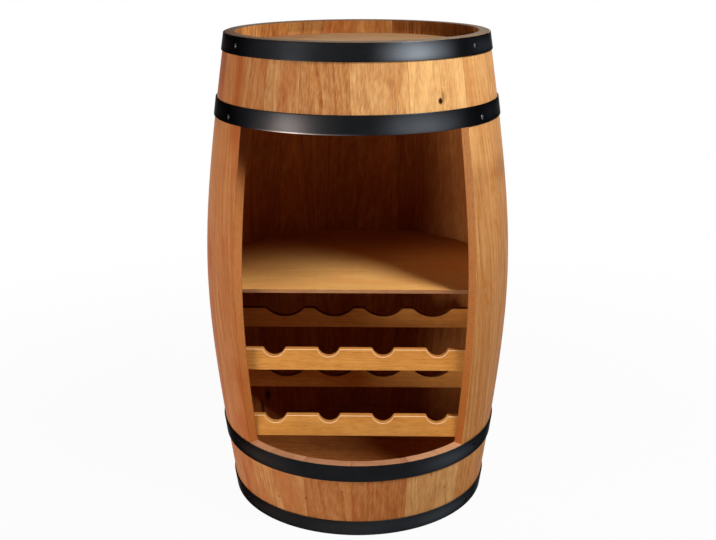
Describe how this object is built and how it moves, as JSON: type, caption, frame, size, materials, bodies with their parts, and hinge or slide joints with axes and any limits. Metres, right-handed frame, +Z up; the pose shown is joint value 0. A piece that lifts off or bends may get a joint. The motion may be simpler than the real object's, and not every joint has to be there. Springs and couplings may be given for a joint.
{
  "type": "barrel bar cabinet",
  "caption": "Upright wooden stave barrel with black steel hoops and a tall front opening that holds a shelf and a two-tier wine bottle rack.",
  "frame": {"origin": "floor level, at the centre of the part's box; the barrel's axis stands 9.8 mm in front of it, because the bulge is cut away at the front", "axes": "+Z up along the barrel's axis, -Y out of the front opening, +X to the right of someone who looks at the opening"},
  "size_m": [0.5166, 0.4971, 0.8],
  "materials": {
    "oiled_wood": "honey-brown stained wood with a satin oil finish",
    "inner_wood": "darker stained wood",
    "rack_wood": "stained wood, smooth",
    "black_steel": "satin black paint"
  },
  "bodies": {
    "root": {"stave_full_01": "oiled_wood", "stave_full_02": "oiled_wood", "stave_full_03": "oiled_wood", "stave_full_04": "oiled_wood", "stave_full_05": "oiled_wood", "stave_full_06": "oiled_wood", "stave_full_07": "oiled_wood", "stave_full_08": "oiled_wood", "stave_full_09": "oiled_wood", "stave_full_10": "oiled_wood", "stave_full_11": "oiled_wood", "stave_full_12": "oiled_wood", "stave_full_13": "oiled_wood", "stave_full_14": "oiled_wood", "stave_upper_1": "oiled_wood", "stave_lower_1": "oiled_wood", "stave_upper_2": "oiled_wood", "stave_lower_2": "oiled_wood", "stave_upper_3": "oiled_wood", "stave_lower_3": "oiled_wood", "stave_upper_4": "oiled_wood", "stave_lower_4": "oiled_wood", "stave_upper_5": "oiled_wood", "stave_lower_5": "oiled_wood", "stave_upper_6": "oiled_wood", "stave_lower_6": "oiled_wood", "hoop_top": "black_steel", "nail_top_front_left": "black_steel", "nail_top_front_right": "black_steel", "nail_top_back_left": "black_steel", "nail_top_back_right": "black_steel", "hoop_upper": "black_steel", "nail_upper_front_left": "black_steel", "nail_upper_front_right": "black_steel", "nail_upper_back_left": "black_steel", "nail_upper_back_right": "black_steel", "hoop_lower": "black_steel", "nail_lower_front_left": "black_steel", "nail_lower_front_right": "black_steel", "nail_lower_back_left": "black_steel", "nail_lower_back_right": "black_steel", "hoop_bottom": "black_steel", "nail_bottom_front_left": "black_steel", "nail_bottom_front_right": "black_steel", "nail_bottom_back_left": "black_steel", "nail_bottom_back_right": "black_steel", "head_top_front": "oiled_wood", "head_bottom_front": "inner_wood", "head_top_middle": "oiled_wood", "head_bottom_middle": "inner_wood", "head_top_back": "oiled_wood", "head_bottom_back": "inner_wood", "shelf": "rack_wood", "shelf_cleat_left": "inner_wood", "shelf_cleat_right": "inner_wood", "shelf_cleat_back": "inner_wood", "rail_front_lower": "rack_wood", "rail_front_upper": "rack_wood", "rail_back_lower": "rack_wood", "rail_back_upper": "rack_wood"}
  },
  "joints": []
}
